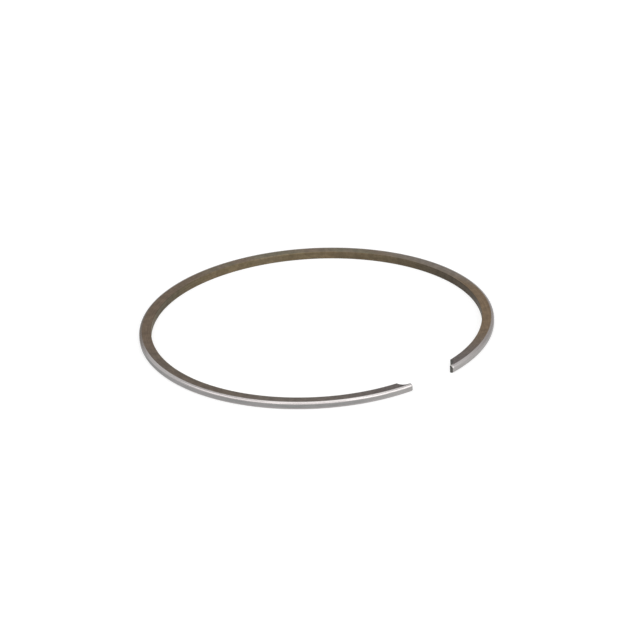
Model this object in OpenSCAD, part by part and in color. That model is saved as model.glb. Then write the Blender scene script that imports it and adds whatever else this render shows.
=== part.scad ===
// Compression ring of a small two-stroke engine, lying free on one flank.
// The ring is ground from one length of wire: rounded running face outside,
// flat flanks above and below, and a notch inside each end for the stop pin.

/* [Fit in the cylinder] */
// Bore of the cylinder that the ring seals
bore_d = 52; // [44:0.5:80]
// Gap left between the ends once the ring is closed in its bore
fitted_gap = 0.3; // [0.1:0.05:0.8]
// Gap between the ends while the ring lies free, on the middle of the wall
free_gap = 8; // [5:0.1:12]
// How many times more the back half opens out than the two arms; 4.5 presses evenly all round
opening_ratio = 4.5; // [1.5:0.1:6]

/* [Section] */
// Radial wall, from the inner face to the running face
radial_wall = 1.85; // [1.5:0.05:2.6]
// Height between the two flanks
ring_h = 1.2; // [0.9:0.05:2]
// Radius of the rounded edges of the running face
edge_r = 0.4; // [0.15:0.05:0.4]
// Chamfer that breaks the inner edges
inner_chamfer = 0.06; // [0.03:0.01:0.2]

/* [Ends] */
// Length of the notch that clears the stop pin, back from the end face
notch_l = 1.6; // [1.4:0.05:2.4]
// Radius of the round corner of the notch
notch_r = 1.25; // [0.6:0.05:1.4]
// Thickness of the tongue that the notch leaves on the running face
tongue_t = 0.65; // [0.45:0.05:0.8]

/* [Hidden] */
$fn = 96;

// Lengths are kept to a whole micron, so that the three arcs meet face to face
function micron(length) = round(length * 1000) / 1000;

// The ring's own length, along the middle of its wall, is set by the closed ring
closed_r = (bore_d - radial_wall) / 2;
wire_len = 2 * PI * closed_r - fitted_gap;

// Opened out by a share s of curvature, the ring is a half circle and two arms of smaller radius
function back_radius(s) = closed_r / (1 - opening_ratio * s);
function arm_radius(s) = closed_r / (1 - s);
function arm_sweep(s) = (wire_len / 2 - PI / 2 * back_radius(s)) / arm_radius(s) * 180 / PI;
function gap_at(s) =
    2 * (back_radius(s) - arm_radius(s) + arm_radius(s) * cos(arm_sweep(s)));

// The gap grows almost in step with s, so scaling s by the shortfall soon settles on the free gap
slight_opening = 2 * closed_r * (opening_ratio - 1 + PI / 2 * (opening_ratio + 1));
function opening(s) =
    micron(gap_at(s) - free_gap) == 0 ? s
    : opening(s * (free_gap - fitted_gap) / (gap_at(s) - fitted_gap));
share = opening((free_gap - fitted_gap) / slight_opening);

back_r = micron(back_radius(share));
arm_r = micron(arm_radius(share));
arm_deg = arm_sweep(share);
// The arms turn about points on the line where they leave the half circle
arm_x = micron(back_r - arm_r);

// The ring is set with the middle of its outline over the origin, and its gap towards -Y
back_y = back_r + radial_wall / 2;
front_y = -(arm_r + radial_wall / 2) * sin(arm_deg);
shift_y = -micron((back_y + front_y) / 2);

// Middle of the notch's round corner: out from the centre of the arm, and back from the end face
corner_out = arm_r + radial_wall / 2 - tongue_t - notch_r;
corner_back = notch_l - notch_r;

// Wall section at distance r from the centre of its arc
module wall_section(r) {
    outer = r + radial_wall / 2;
    inner = r - radial_wall / 2;
    edge_x = outer - edge_r;
    polygon([
        [inner + inner_chamfer, 0],
        [edge_x, 0],
        [edge_x, ring_h],
        [inner + inner_chamfer, ring_h],
        [inner, ring_h - inner_chamfer],
        [inner, inner_chamfer]
    ]);
    translate([edge_x, edge_r]) square([edge_r, ring_h - 2 * edge_r]);
    for (z = [edge_r, ring_h - edge_r])
        translate([edge_x, z]) circle(edge_r);
}

// Notch seen from above: in from the inner face, round the corner and along the tongue to the end
module notch_outline() {
    translate([corner_out, corner_back]) circle(notch_r);
    translate([corner_out - radial_wall, -notch_l]) {
        square([radial_wall, 2 * notch_l]);
        square([radial_wall + notch_r, notch_l + corner_back]);
    }
}

// One arm, from the line of the half circle round to its notched end
module arm() {
    translate([arm_x, 0, 0])
        difference() {
            rotate_extrude(angle = arm_deg, start = -arm_deg) wall_section(arm_r);
            rotate([0, 0, -arm_deg])
                translate([0, 0, ring_h / 2])
                    linear_extrude(2 * ring_h, center = true) notch_outline();
        }
}

// The whole ring: one piece of steel wire, back half and both arms in one
module piston_ring() {
    color([0.45, 0.40, 0.36])
        translate([0, shift_y, 0]) {
            rotate_extrude(angle = 180) wall_section(back_r);
            arm();
            mirror([1, 0, 0]) arm();
        }
}

piston_ring();
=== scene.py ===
"""A piston ring lying free on a white floor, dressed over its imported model."""
import math

import bmesh
import bpy
from mathutils import Matrix, Quaternion, Vector


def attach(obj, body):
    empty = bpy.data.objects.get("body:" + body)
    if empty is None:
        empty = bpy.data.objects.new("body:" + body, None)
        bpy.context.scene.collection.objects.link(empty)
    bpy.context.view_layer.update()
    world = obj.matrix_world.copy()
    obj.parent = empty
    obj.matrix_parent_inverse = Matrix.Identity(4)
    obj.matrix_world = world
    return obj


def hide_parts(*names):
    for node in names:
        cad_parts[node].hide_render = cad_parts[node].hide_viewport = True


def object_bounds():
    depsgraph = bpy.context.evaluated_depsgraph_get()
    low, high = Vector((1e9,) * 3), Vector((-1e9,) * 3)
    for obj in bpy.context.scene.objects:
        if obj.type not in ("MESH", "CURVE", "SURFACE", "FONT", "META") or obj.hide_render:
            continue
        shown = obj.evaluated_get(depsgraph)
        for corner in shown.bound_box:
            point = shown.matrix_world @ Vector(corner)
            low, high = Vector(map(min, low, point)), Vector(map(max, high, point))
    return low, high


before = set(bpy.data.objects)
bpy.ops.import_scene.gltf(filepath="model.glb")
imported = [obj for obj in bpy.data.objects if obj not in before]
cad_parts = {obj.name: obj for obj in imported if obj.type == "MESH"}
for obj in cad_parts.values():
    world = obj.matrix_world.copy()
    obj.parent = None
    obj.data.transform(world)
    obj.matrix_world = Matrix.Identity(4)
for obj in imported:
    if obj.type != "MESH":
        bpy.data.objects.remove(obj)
cad_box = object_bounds()
scene = bpy.context.scene
scene.view_settings.view_transform = "Standard"

# The ring is one length of steel wire, bent and ground to fit its bore with a small gap between its ends.
# Taken out it springs open: the back half opens most and the two arms less, as three arcs that run into
# each other. The opening is the share of its curvature that an arm gives up, scaled until the gap fits.
MM = 0.001
bore_d = 52 * MM
fitted_gap = 0.3 * MM
free_gap = 8 * MM
opening_ratio = 4.5
radial_wall = 1.85 * MM
ring_h = cad_box[1].z - cad_box[0].z
first_opening = 0.02
settling_rounds = 12

closed_r = (bore_d - radial_wall) / 2
half_length = math.pi * closed_r - fitted_gap / 2
opening = first_opening
for _ in range(settling_rounds):
    back_r = closed_r / (1 - opening_ratio * opening)
    arm_r = closed_r / (1 - opening)
    arm_sweep = (half_length - math.pi / 2 * back_r) / arm_r
    gap = 2 * (back_r - arm_r + arm_r * math.cos(arm_sweep))
    opening *= (free_gap - fitted_gap) / (gap - fitted_gap)
centre_y = cad_box[1].y - back_r - radial_wall / 2
back_centre = Vector((0, centre_y, 0))
arm_centre = Vector((back_r - arm_r, centre_y, 0))

# The wall section starts as a plain rectangle at the middle of the back. Its outer corners are rounded, as on
# any lapped running face, and its inner corners only have the burr taken off.
edge_r = 0.4 * MM
edge_steps = 8
inner_chamfer = 0.06 * MM
chamfer_steps = 1

wire = bmesh.new()
upright = Matrix.Rotation(math.pi / 2, 4, "Y") @ Matrix.Diagonal((ring_h / 2, radial_wall / 2, 1, 1))
middle_of_back = Matrix.Translation((0, centre_y + back_r, ring_h / 2))
bmesh.ops.create_grid(wire, x_segments=1, y_segments=1, size=1, matrix=middle_of_back @ upright)
outer_corners = [v for v in wire.verts if v.co.y > centre_y + back_r]
inner_corners = [v for v in wire.verts if v.co.y < centre_y + back_r]
breaks = (outer_corners, edge_r, edge_steps), (inner_corners, inner_chamfer, chamfer_steps)
for corners, size, steps in breaks:
    bmesh.ops.bevel(wire, geom=corners, offset=size, offset_type="OFFSET", segments=steps, profile=0.5,
                    affect="VERTICES", material=-1)

# Half of the ring is drawn out of that section, round the back and down one arm to the notch. There the inner
# side steps outwards round a corner, and leaves a thin tongue for the stop pin to meet.
notch_l = 1.6 * MM
notch_r = 1.25 * MM
notch_steps = 12
tongue_t = 0.65 * MM
end_break = 0.08 * MM
end_break_steps = 2
step_angle = math.radians(0.75)
inner_band = 1.5 * inner_chamfer  # what lies this close to the inner side steps outwards with it


def with_its_outline(face):
    return [face, *face.edges, *face.verts]


def only(kind, geometry):
    return [g for g in geometry if isinstance(g, kind)]


def bend(section, centre, angle):
    """Draws the section clockwise round a centre, and gives the face at the new end."""
    swept = bmesh.ops.spin(wire, geom=with_its_outline(section), cent=centre, axis=(0, 0, 1), angle=-angle,
                           steps=round(angle / step_angle))
    return only(bmesh.types.BMFace, swept["geom_last"])[0]


def along_notch():
    """The points that the notch runs through: angles back from the end, distances from the arm's centre."""
    corner_out = arm_r + radial_wall / 2 - tongue_t - notch_r
    corner_back = notch_l - notch_r
    turns = [math.pi / 2 * step / notch_steps for step in range(notch_steps + 1)]
    points = [(corner_back + notch_r * math.cos(t), corner_out + notch_r * math.sin(t)) for t in turns]
    end_of_tongue = (0, corner_out + notch_r)
    return [(math.atan2(back, out), math.hypot(back, out)) for back, out in (*points, end_of_tongue)]


section, = wire.faces
end = bend(section, back_centre, math.pi / 2)
(notch_angle, wall_r), *notch_points = along_notch()
end = bend(end, arm_centre, arm_sweep - notch_angle)
for angle, next_wall_r in notch_points:
    drawn = bmesh.ops.extrude_face_region(wire, geom=with_its_outline(end))["geom"]
    end = only(bmesh.types.BMFace, drawn)[0]
    inner_verts = [v for v in end.verts if (v.co - arm_centre).xy.length < wall_r + inner_band]
    onward = Matrix.Rotation(angle - notch_angle, 3, "Z")
    bmesh.ops.rotate(wire, verts=end.verts, cent=arm_centre, matrix=onward)
    outward = Matrix.Rotation(angle - arm_sweep, 3, "Z") @ Vector((1, 0, 0))
    bmesh.ops.translate(wire, verts=inner_verts, vec=outward * (next_wall_r - wall_r))
    notch_angle, wall_r = angle, next_wall_r
bmesh.ops.bevel(wire, geom=list(end.edges), offset=end_break, offset_type="OFFSET", segments=end_break_steps,
                profile=0.5, affect="EDGES", material=-1)

# Each face is given its finish: brown film on the flanks and the inner face, bright lapping on the running
# face and its rounded edges, and plain ground steel in the notch and on the end. The other half of the ring
# is its mirror image.
FLANK, INNER, RUNNING, GROUND = range(4)
flank_upright = 0.9  # a flank's normal is at least this upright
end_lengthwise = 0.5  # the normal of an end points at least this much along the ring
weld_gap = 0.001 * MM
crisp_angle = math.radians(25)


def finish_of(face):
    """The finish of a face, from the way it points and its place in the wall."""
    middle = face.calc_center_median()
    centre, mid_r = (back_centre, back_r) if middle.y > centre_y else (arm_centre, arm_r)
    radial = (middle - centre).xy
    across = radial.length - mid_r
    if abs(face.normal.xy.cross(radial.normalized())) > end_lengthwise:
        return GROUND
    if across > radial_wall / 2 - edge_r:
        return RUNNING
    if abs(face.normal.z) > flank_upright:
        return FLANK
    return INNER if across < inner_chamfer - radial_wall / 2 else GROUND


bmesh.ops.recalc_face_normals(wire, faces=wire.faces)
for face in wire.faces:
    face.material_index = finish_of(face)
    face.smooth = True
back_faces = [f for f in wire.faces if all(abs(v.co.x) < weld_gap for v in f.verts)]
bmesh.ops.delete(wire, geom=back_faces, context="FACES_ONLY")
bmesh.ops.mirror(wire, geom=[*wire.verts, *wire.edges, *wire.faces], axis="X", merge_dist=weld_gap)
bmesh.ops.recalc_face_normals(wire, faces=wire.faces)
# The operators list the faces in another order each time, so they are put in the order of their points.
wire.verts.index_update()
in_order = sorted(wire.faces, key=lambda face: sorted(v.index for v in face.verts))
for place, face in enumerate(in_order):
    face.index = place
wire.faces.sort()

# The ring is also laid out flat, as a map through which its finishes can be baked onto an image. It is
# unrolled and cut into rows that lie above each other. In a row the flanks lie on either side of the running
# face, and beyond one of them the inner face, which runs on through the notch and over the end.
map_rows = 5
map_margin = 0.02
strip_gap = 0.15 * MM
map_half = half_length + radial_wall  # half of the wire, with its end folded out
row_width = 2 * (radial_wall + ring_h + strip_gap)


def place_in_wire(point):
    """How far a point lies along its half of the wire, and out from the middle of the wall."""
    x, y = abs(point.x), point.y - centre_y
    if y > 0:
        return math.atan2(x, y) * back_r, math.hypot(x, y) - back_r
    x -= arm_centre.x
    return math.pi / 2 * back_r + math.atan2(-y, x) * arm_r, math.hypot(x, y) - arm_r


def unrolled(face, point):
    """Where a point of a face comes to lie, along all rows in their order and across a row."""
    along, out = place_in_wire(point)
    if face.material_index in (INNER, GROUND):
        along += radial_wall / 2 + out
        across = radial_wall + ring_h / 2 + strip_gap + point.z
    else:
        below = ring_h / 2 - point.z
        across = below + math.copysign(radial_wall / 2 - out, below)
    side = math.copysign(1, face.calc_center_median().x)
    return (1 + side * along / map_half) / 2 * map_rows, across


layout = wire.loops.layers.uv.new("OFBake")  # the name that marks it as the map to bake through
for face in wire.faces:
    row = math.floor(unrolled(face, face.calc_center_median())[0])
    for corner in face.loops:
        along, across = unrolled(face, corner.vert.co)
        u = map_margin + (along - row) * (1 - 2 * map_margin)
        v = row + (radial_wall + ring_h / 2 + strip_gap / 2 + across) / row_width
        corner[layout].uv = u, v / map_rows

ring_mesh = bpy.data.meshes.new("ring")
wire.to_mesh(ring_mesh)
wire.free()
ring_mesh.set_sharp_from_angle(angle=crisp_angle)
ring = bpy.data.objects.new("ring", ring_mesh)
scene.collection.objects.link(ring)
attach(ring, "root")
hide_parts("piston_ring")

# A brown film from the heat treatment covers the steel, golden inside the ring. Towards the ends the colour
# turns greyer and darker. Lapping has cut the film away from the running face, most of all on its edges, and
# grinding from the notches. Round the ring the tones change partly on their own and partly as painted shade
# and light, by how each side faces the lamps; the rounded edges of the running face also carry a painted
# highlight, and the inner chamfer a painted shade. The tool marks run along the ring, and up and down in the
# notches and on the ends.
noise_low, noise_high = 0.3, 0.7  # most of a noise lies between them
mottle_low, mottle_high = 0.35, 0.65
streak_dark, streak_light = 0.88, 1.1
bump_strength = 0.4
# The painted shade on the inner chamfer, and its blur.
painted_chamfer_shade = 0.8
chamfer_blur = 0.1 * inner_chamfer
# How far the lapping and the painted highlight of the rounded edges fade in.
lapped_highlight_fade = 0.4 * edge_r
# Where the ring ends, counted along it from the middle of its back.
tip = arm_centre + Matrix.Rotation(-arm_sweep, 3, "Z") @ Vector((arm_r, 0, 0)) - back_centre
end_along = math.atan2(tip.x, tip.y) * back_r


def srgb(red, green, blue):
    """A colour as it is read off a screen, 0 to 255, made linear."""
    parts = [c / 255 for c in (red, green, blue)]
    return (*[c / 12.92 if c <= 0.04045 else ((c + 0.055) / 1.055) ** 2.4 for c in parts], 1)


def add(tree, kind, *inputs, **settings):
    """Adds a node, with its inputs set or linked in their order."""
    made = tree.nodes.new("ShaderNode" + kind)
    for name, setting in settings.items():
        setattr(made, name, setting)
    for socket, given in zip(made.inputs, inputs):
        if isinstance(given, bpy.types.NodeSocket):
            tree.links.new(given, socket)
        elif given is not None:
            socket.default_value = given
    return made


def number(tree, operation, *inputs):
    return add(tree, "Math", *inputs, operation=operation).outputs[0]


def between(tree, value, low, high, to_low, to_high):
    """Carries a value from one range smoothly over to another."""
    ranges = low, high, to_low, to_high
    return add(tree, "MapRange", value, *ranges, interpolation_type="SMOOTHSTEP").outputs[0]


def mix(tree, factor, first, second, how="MIX"):
    return add(tree, "MixRGB", factor, first, second, blend_type=how).outputs[0]


def times(tree, colour, shade):
    """A colour made darker or lighter by a shade around 1."""
    return mix(tree, 1, colour, shade, "MULTIPLY")


def place_in_frame(tree):
    return add(tree, "TexCoord").outputs["Object"]


def place_on_ring(tree):
    """How far a point lies along the ring from the middle of its back, out from its centre, and up."""
    x, y, up = add(tree, "SeparateXYZ", place_in_frame(tree)).outputs
    y = number(tree, "SUBTRACT", y, centre_y)
    along = number(tree, "MULTIPLY", number(tree, "ARCTAN2", x, y), back_r)
    squares = [number(tree, "MULTIPLY", side, side) for side in (x, y)]
    out = number(tree, "SQRT", number(tree, "ADD", *squares))
    return along, out, up


def height_off_middle(tree):
    """How far a point lies above or below the middle of the ring's height."""
    _, _, up = place_on_ring(tree)
    return number(tree, "ABSOLUTE", number(tree, "SUBTRACT", up, ring_h / 2))


def noise(tree, place, scale, detail):
    return add(tree, "TexNoise", place, None, scale, detail).outputs["Fac"]


def tool_marks(tree, lengths):
    """Fine marks, with how long they are along the ring, across its wall and up."""
    stretched = [number(tree, "DIVIDE", place, length) for place, length in zip(place_on_ring(tree), lengths)]
    return noise(tree, add(tree, "CombineXYZ", *stretched).outputs[0], scale=1, detail=3)


def patches(tree, size):
    """Soft patches of about one size."""
    return noise(tree, place_in_frame(tree), scale=1 / size, detail=2)


def tones(tree, pattern, *colours):
    """Colours that follow each other as a pattern rises from its darkest to its lightest."""
    made = add(tree, "ValToRGB", pattern)
    elements = made.color_ramp.elements
    for _ in colours[2:]:
        elements.new(1)
    step = (noise_high - noise_low) / (len(colours) - 1)
    for i, (element, colour) in enumerate(zip(elements, colours)):
        element.position = noise_low + i * step
        element.color = srgb(*colour)
    return made.outputs["Color"]


def mottled(tree, film):
    """A film of uneven thickness: small blotches over a finer grain."""
    for size, unevenness in ((1.1 * MM, 0.1), (0.35 * MM, 0.08)):
        spots = between(tree, patches(tree, size), mottle_low, mottle_high, 1 - unevenness, 1 + unevenness)
        film = times(tree, film, spots)
    return film


def from_ring(azimuth, elevation):
    """Direction out from the ring, with azimuth 0 towards the end gap and 90 towards +X."""
    a, e = math.radians(azimuth), math.radians(elevation)
    return Vector((math.sin(a) * math.cos(e), -math.cos(a) * math.cos(e), math.sin(e)))


def side_tone_and_shade(tree, film, colour, azimuth, begins, full):
    """Another colour on one side, for the film's own tone there and for painted shade and light: how far out
    towards it the colour begins, and is full, in radii.
    """
    towards = from_ring(azimuth, 0) / back_r
    far_out = add(tree, "VectorMath", place_in_frame(tree), towards, operation="DOT_PRODUCT").outputs["Value"]
    return mix(tree, between(tree, far_out, begins, full, 0, 1), film, srgb(*colour))


def end_tone_and_highlight(tree, film, colour, reach):
    """Another colour towards both ends, from a reach before them; it serves for the tone near the ends and
    for a painted highlight at the tips.
    """
    along, _, _ = place_on_ring(tree)
    nearness = between(tree, number(tree, "ABSOLUTE", along), end_along - reach, end_along, 0, 1)
    return mix(tree, nearness, film, srgb(*colour))


def flank_colour(tree):
    film = tones(tree, patches(tree, 9 * MM), (108, 91, 76), (114, 100, 85), (110, 103, 86), (116, 100, 90))
    # Partly the film's own tone, partly painted shade and light: darker to the front and left, lighter to the
    # right.
    film = side_tone_and_shade(tree, film, (103, 88, 73), azimuth=-130, begins=0.3, full=0.9)
    film = side_tone_and_shade(tree, film, (113, 95, 74), azimuth=50, begins=0.4, full=1)
    film = side_tone_and_shade(tree, film, (116, 107, 98), azimuth=95, begins=0.9, full=1)
    film = side_tone_and_shade(tree, film, (101, 93, 86), azimuth=-41, begins=0.25, full=1)
    film = side_tone_and_shade(tree, film, (97, 87, 77), azimuth=-91, begins=0.8, full=1)
    film = end_tone_and_highlight(tree, film, (95, 89, 87), reach=17 * MM)
    # Painted highlight: the last millimetre before each tip is made light grey, on the tongue where the film
    # is ground off.
    return end_tone_and_highlight(tree, mottled(tree, film), (165, 162, 158), reach=1 * MM)


def inner_colour(tree):
    film = tones(tree, patches(tree, 7 * MM), (122, 100, 70), (114, 100, 78), (108, 96, 74), (120, 107, 86))
    # Painted shade: darker at the back, right of the back, and most of all on the right, where less lamp
    # light reflects.
    film = side_tone_and_shade(tree, film, (86, 80, 66), azimuth=-155, begins=0.85, full=1)
    film = side_tone_and_shade(tree, film, (100, 88, 70), azimuth=122, begins=0.85, full=1)
    film = side_tone_and_shade(tree, film, (77, 69, 59), azimuth=77, begins=0.68, full=1.02)
    film = end_tone_and_highlight(tree, film, (74, 70, 66), reach=6 * MM)
    # Painted shade darkens the inner chamfer, to hold down the glint it catches from the lamps.
    edge = ring_h / 2 - inner_chamfer
    shade = between(tree, height_off_middle(tree), edge - chamfer_blur, edge + chamfer_blur, 1, painted_chamfer_shade)
    return times(tree, mottled(tree, film), shade)


def running_colour(tree):
    face = tones(tree, patches(tree, 6 * MM), (133, 133, 132), (142, 141, 140), (148, 145, 145))
    # Painted light: the face is made lighter on the side of the end gap.
    face = side_tone_and_shade(tree, face, (166, 163, 161), azimuth=20, begins=0.6, full=1)
    # The rounded edges are lighter than the face, partly bare lapped steel and partly a painted highlight;
    # the highlight
    # is dimmer to the front left and front right, and at the back left the edge turns brown like the film.
    rim = side_tone_and_shade(tree, srgb(174, 170, 169), (165, 160, 159), azimuth=-60, begins=0.85, full=1)
    rim = side_tone_and_shade(tree, rim, (151, 145, 143), azimuth=50, begins=0.8, full=1)
    rim = side_tone_and_shade(tree, rim, (110, 102, 96), azimuth=-140, begins=0.86, full=1)
    edge = ring_h / 2 - edge_r
    lapped_and_highlit = between(tree, height_off_middle(tree), edge, edge + lapped_highlight_fade, 0, 1)
    return mix(tree, lapped_and_highlit, face, rim)


def ground_colour(tree):
    # Dark grey, darker than bare ground steel: partly its own colour, partly painted shade on the notch walls
    # and ends.
    return tones(tree, patches(tree, 1.2 * MM), (70, 70, 67), (92, 91, 87))


def finish(name, colour, metallic, edge_tint, marks, depth, roughest, smoothest):
    """A steel finish: its colour streaked by tool marks, which also roughen it and are cut into it."""
    material = bpy.data.materials.new(name)
    material.use_nodes = True
    ring_mesh.materials.append(material)
    tree = material.node_tree
    shader = tree.nodes["Principled BSDF"]
    shader.inputs["Metallic"].default_value = metallic
    shader.inputs["Specular Tint"].default_value = (edge_tint, edge_tint, edge_tint, 1)
    lines = tool_marks(tree, marks)
    streaks = between(tree, lines, noise_low, noise_high, streak_dark, streak_light)
    roughness = between(tree, lines, noise_low, noise_high, roughest, smoothest)
    cut = add(tree, "Bump", bump_strength, depth)
    tree.links.new(lines, cut.inputs["Height"])
    tree.links.new(times(tree, colour(tree), streaks), shader.inputs["Base Color"])
    tree.links.new(roughness, shader.inputs["Roughness"])
    tree.links.new(cut.outputs[0], shader.inputs["Normal"])


# The finishes come in the order of FLANK, INNER, RUNNING and GROUND.
finish("brown_flank", flank_colour, metallic=0.8, edge_tint=0.6,
       marks=(5 * MM, 0.12 * MM, 0.12 * MM), depth=0.004 * MM, roughest=0.5, smoothest=0.38)
finish("golden_inner_face", inner_colour, metallic=0.8, edge_tint=0.6,
       marks=(8 * MM, 0.1 * MM, 0.1 * MM), depth=0.004 * MM, roughest=0.52, smoothest=0.4)
finish("lapped_running_face", running_colour, metallic=1, edge_tint=0.7,
       marks=(9 * MM, 0.06 * MM, 0.06 * MM), depth=0.002 * MM, roughest=0.32, smoothest=0.22)
finish("ground_end", ground_colour, metallic=0.8, edge_tint=0.6,
       marks=(0.05 * MM, 0.05 * MM, 2 * MM), depth=0.004 * MM, roughest=0.5, smoothest=0.35)

# The floor is a white sheet, wide enough that its edge is never seen. Around the ring the lamps make up part
# of its white, so that a shadow shows there, and further off it is white by itself.
floor_half = 3.0
floor_drop = 0.01 * MM
floor_grey = 0.4
shadow_reach = 0.04
white_from = 0.3
near_glow = 0.7
far_glow = 1.0

sheet = bmesh.new()
below_ring = Matrix.Translation((0, 0, -floor_drop))
bmesh.ops.create_grid(sheet, x_segments=1, y_segments=1, size=floor_half, matrix=below_ring)
floor_mesh = bpy.data.meshes.new("floor")
sheet.to_mesh(floor_mesh)
sheet.free()
floor = bpy.data.objects.new("floor", floor_mesh)
scene.collection.objects.link(floor)


def seen_directly(tree):
    """1 for the camera, for reflections and through glass, and 0 for light that only falls on things."""
    path = add(tree, "LightPath").outputs
    in_steel_or_glass = number(tree, "MAXIMUM", path["Is Glossy Ray"], path["Is Transmission Ray"])
    return number(tree, "MAXIMUM", path["Is Camera Ray"], in_steel_or_glass)


white_sheet = bpy.data.materials.new("white_sheet")
white_sheet.use_nodes = True
floor_mesh.materials.append(white_sheet)
tree = white_sheet.node_tree
tree.nodes.clear()
away = add(tree, "VectorMath", place_in_frame(tree), operation="LENGTH").outputs["Value"]
own_white = between(tree, away, shadow_reach, white_from, near_glow, far_glow)
glow = add(tree, "Emission", (1, 1, 1, 1), number(tree, "MULTIPLY", seen_directly(tree), own_white))
matt = add(tree, "BsdfDiffuse", (floor_grey, floor_grey, floor_grey, 1))
both = add(tree, "AddShader", matt.outputs[0], glow.outputs[0])
add(tree, "OutputMaterial", both.outputs[0])

# The room around is white too, like a light tent. It fills the shadows only faintly, and shows its full
# white to the camera and in the steel.
fill_light = 0.15
world = bpy.data.worlds.new("white_room")
scene.world = world
world.use_nodes = True
tree = world.node_tree
background = tree.nodes["Background"]
background.inputs["Color"].default_value = (1, 1, 1, 1)
room_light = between(tree, seen_directly(tree), 0, 1, fill_light, 1)
tree.links.new(room_light, background.inputs["Strength"])

# Four soft boxes light the ring, as the viewer sees it: a wide one overhead, and one each in front, on the
# right and on the left. They show in the steel, and the camera doesn't see them.
view_azimuth = -40.45


def soft_box(name, azimuth, elevation, distance, width, height, brightness):
    """A lit rectangle that faces the ring, and looks as bright at any size."""
    lamp = bpy.data.lights.new(name, "AREA")
    lamp.shape = "RECTANGLE"
    lamp.size = width
    lamp.size_y = height
    lamp.energy = brightness * math.pi * width * height
    box = bpy.data.objects.new(name, lamp)
    towards = from_ring(azimuth, elevation)
    box.location = towards * distance
    box.rotation_mode = "QUATERNION"
    box.rotation_quaternion = towards.to_track_quat("Z", "Y")
    box.visible_camera = False
    scene.collection.objects.link(box)


soft_box("overhead_box", azimuth=view_azimuth, elevation=88, distance=0.45,
         width=0.36, height=0.5, brightness=1.5)
soft_box("front_box", azimuth=view_azimuth + 3, elevation=34, distance=0.6,
         width=0.65, height=0.38, brightness=1.26)
soft_box("right_box", azimuth=view_azimuth + 58, elevation=30, distance=0.6,
         width=0.6, height=0.5, brightness=1.65)
soft_box("left_box", azimuth=view_azimuth - 62, elevation=36, distance=0.6,
         width=0.7, height=0.36, brightness=1.34)

# The camera stands well back with a long lens, above the floor and to the left of the end gap. It is a
# little turned about its own axis.
view_elevation = 25.916
view_roll = 2.69
camera_distance = 0.7894
camera_lens = 288.86
aim_right = 0.348 * MM
aim_up = 1.511 * MM

camera = bpy.data.objects.new("camera", bpy.data.cameras.new("camera"))
camera.data.lens = camera_lens
towards = from_ring(view_azimuth, view_elevation)
turn = towards.to_track_quat("Z", "Y") @ Quaternion((0, 0, 1), -math.radians(view_roll))
camera.rotation_mode = "QUATERNION"
camera.rotation_quaternion = turn
camera.location = back_centre + towards * camera_distance + turn @ Vector((aim_right, aim_up, 0))
scene.collection.objects.link(camera)
scene.camera = camera
